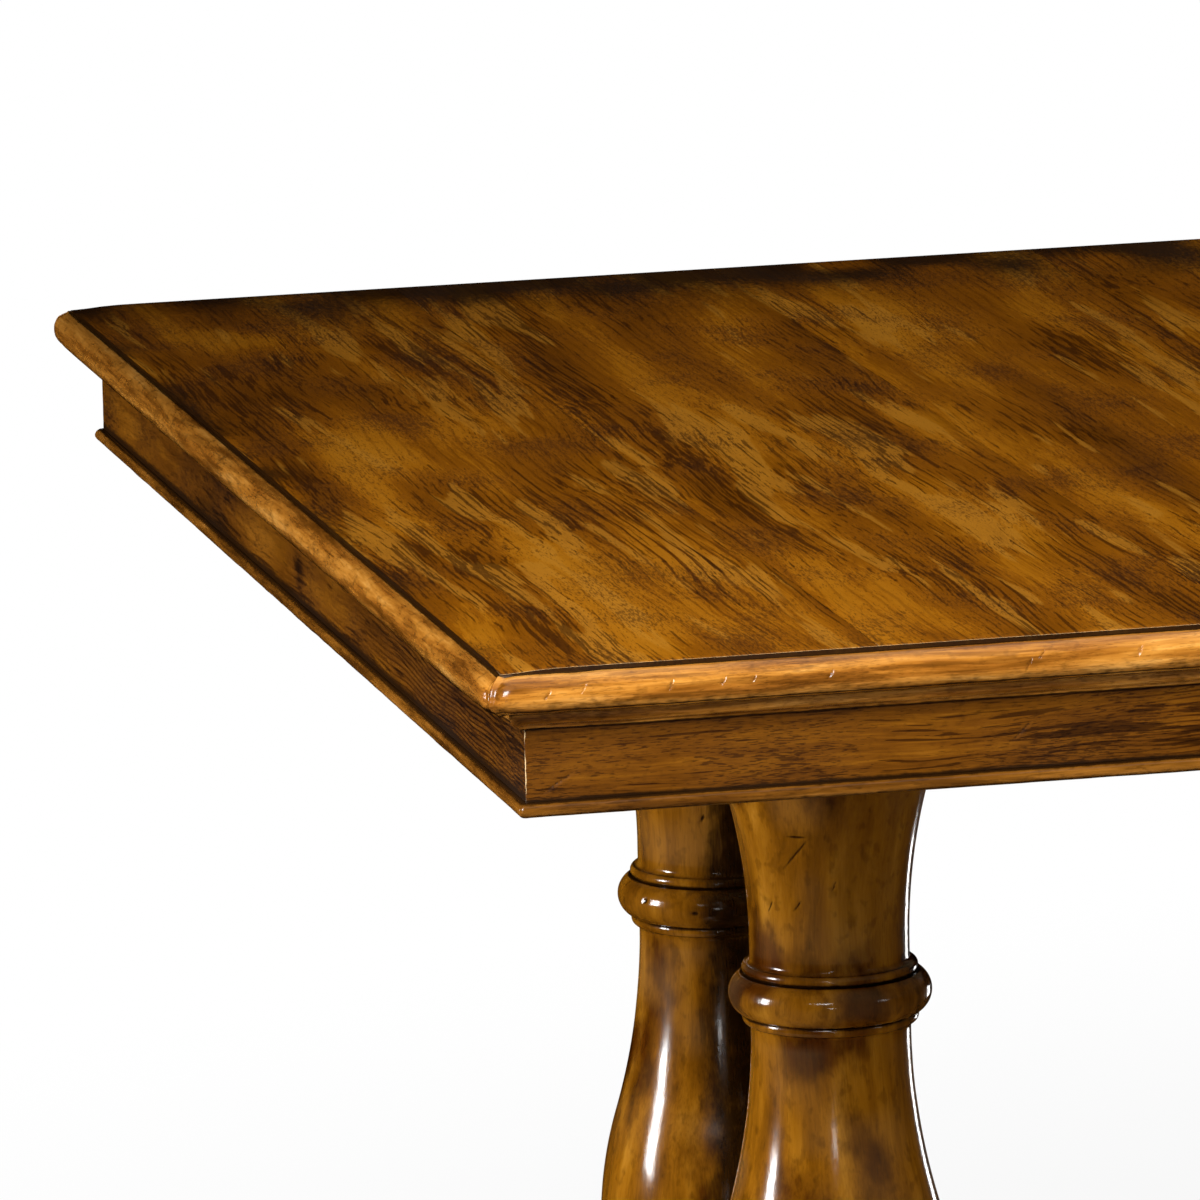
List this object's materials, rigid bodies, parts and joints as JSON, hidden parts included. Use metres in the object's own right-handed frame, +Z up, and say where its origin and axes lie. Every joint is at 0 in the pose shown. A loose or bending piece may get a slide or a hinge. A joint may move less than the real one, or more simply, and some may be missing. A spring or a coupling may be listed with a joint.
{
  "type": "pedestal dining table",
  "caption": "Long rectangular dining table: planked walnut top with a half-round mitred edge, on two pedestals of paired turned columns with levelling glides.",
  "frame": {"origin": "on the floor at the centre of the table's plan", "axes": "+X along the table's length, +Y across it towards the back, +Z up"},
  "size_m": [2.438, 1.12, 0.762],
  "materials": {
    "walnut_planks": "figured walnut planks, stained, glazed and satin lacquered",
    "walnut_moulding": "solid walnut, hand-worn, glazed and satin lacquered",
    "walnut_apron": "straight-grained walnut, glazed and satin lacquered",
    "walnut_turning": "turned walnut, glazed and satin lacquered",
    "walnut_platform": "walnut, glazed and satin lacquered",
    "core_board": "raw core board",
    "bearer_wood": "planed poplar, unfinished",
    "zinc_steel": "zinc plated",
    "glide_steel": "nickel plated",
    "brass_insert": "plain"
  },
  "bodies": {
    "root": {"apron_back": "walnut_apron", "apron_front": "walnut_apron", "apron_left": "walnut_apron", "apron_right": "walnut_apron", "bead_back": "walnut_moulding", "bead_front": "walnut_moulding", "bead_left": "walnut_moulding", "bead_right": "walnut_moulding", "bearer_screws": "zinc_steel", "bun_feet_left": "walnut_turning", "bun_feet_right": "walnut_turning", "cap_rail_bolts": "zinc_steel", "cap_rail_left": "bearer_wood", "cap_rail_right": "bearer_wood", "column_left_back": "walnut_turning", "column_left_front": "walnut_turning", "column_right_back": "walnut_turning", "column_right_front": "walnut_turning", "corner_blocks": "bearer_wood", "cross_batten_left": "bearer_wood", "cross_batten_middle": "bearer_wood", "cross_batten_right": "bearer_wood", "edge_moulding_back": "walnut_moulding", "edge_moulding_front": "walnut_moulding", "edge_moulding_left": "walnut_moulding", "edge_moulding_right": "walnut_moulding", "glide_inserts": "brass_insert", "platform_left": "walnut_platform", "platform_mouldings_left": "walnut_moulding", "platform_mouldings_right": "walnut_moulding", "platform_right": "walnut_platform", "runner_back": "bearer_wood", "runner_front": "bearer_wood", "tie_rod_nuts": "zinc_steel", "tie_rod_washers": "zinc_steel", "tie_rods": "zinc_steel", "top_core": "core_board", "top_plank_01": "walnut_planks", "top_plank_02": "walnut_planks", "top_plank_03": "walnut_planks", "top_plank_04": "walnut_planks", "top_plank_05": "walnut_planks", "top_plank_06": "walnut_planks", "top_plank_07": "walnut_planks", "top_plank_08": "walnut_planks", "top_plank_09": "walnut_planks", "top_plank_10": "walnut_planks", "top_plank_11": "walnut_planks", "top_plank_12": "walnut_planks", "top_plank_13": "walnut_planks"},
    "glide_left_back_inner": {"glide_left_back_inner": "glide_steel"},
    "glide_left_back_outer": {"glide_left_back_outer": "glide_steel"},
    "glide_left_front_inner": {"glide_left_front_inner": "glide_steel"},
    "glide_left_front_outer": {"glide_left_front_outer": "glide_steel"},
    "glide_right_back_inner": {"glide_right_back_inner": "glide_steel"},
    "glide_right_back_outer": {"glide_right_back_outer": "glide_steel"},
    "glide_right_front_inner": {"glide_right_front_inner": "glide_steel"},
    "glide_right_front_outer": {"glide_right_front_outer": "glide_steel"}
  },
  "joints": [
    {"name": "glide_left_back_inner_screw_out", "type": "slide", "parent": "root", "child": "glide_left_back_inner", "axis": [0, 0, -1], "range_m": [0, 0.012]},
    {"name": "glide_left_back_outer_screw_out", "type": "slide", "parent": "root", "child": "glide_left_back_outer", "axis": [0, 0, -1], "range_m": [0, 0.012]},
    {"name": "glide_left_front_inner_screw_out", "type": "slide", "parent": "root", "child": "glide_left_front_inner", "axis": [0, 0, -1], "range_m": [0, 0.012]},
    {"name": "glide_left_front_outer_screw_out", "type": "slide", "parent": "root", "child": "glide_left_front_outer", "axis": [0, 0, -1], "range_m": [0, 0.012]},
    {"name": "glide_right_back_inner_screw_out", "type": "slide", "parent": "root", "child": "glide_right_back_inner", "axis": [0, 0, -1], "range_m": [0, 0.012]},
    {"name": "glide_right_back_outer_screw_out", "type": "slide", "parent": "root", "child": "glide_right_back_outer", "axis": [0, 0, -1], "range_m": [0, 0.012]},
    {"name": "glide_right_front_inner_screw_out", "type": "slide", "parent": "root", "child": "glide_right_front_inner", "axis": [0, 0, -1], "range_m": [0, 0.012]},
    {"name": "glide_right_front_outer_screw_out", "type": "slide", "parent": "root", "child": "glide_right_front_outer", "axis": [0, 0, -1], "range_m": [0, 0.012]}
  ]
}
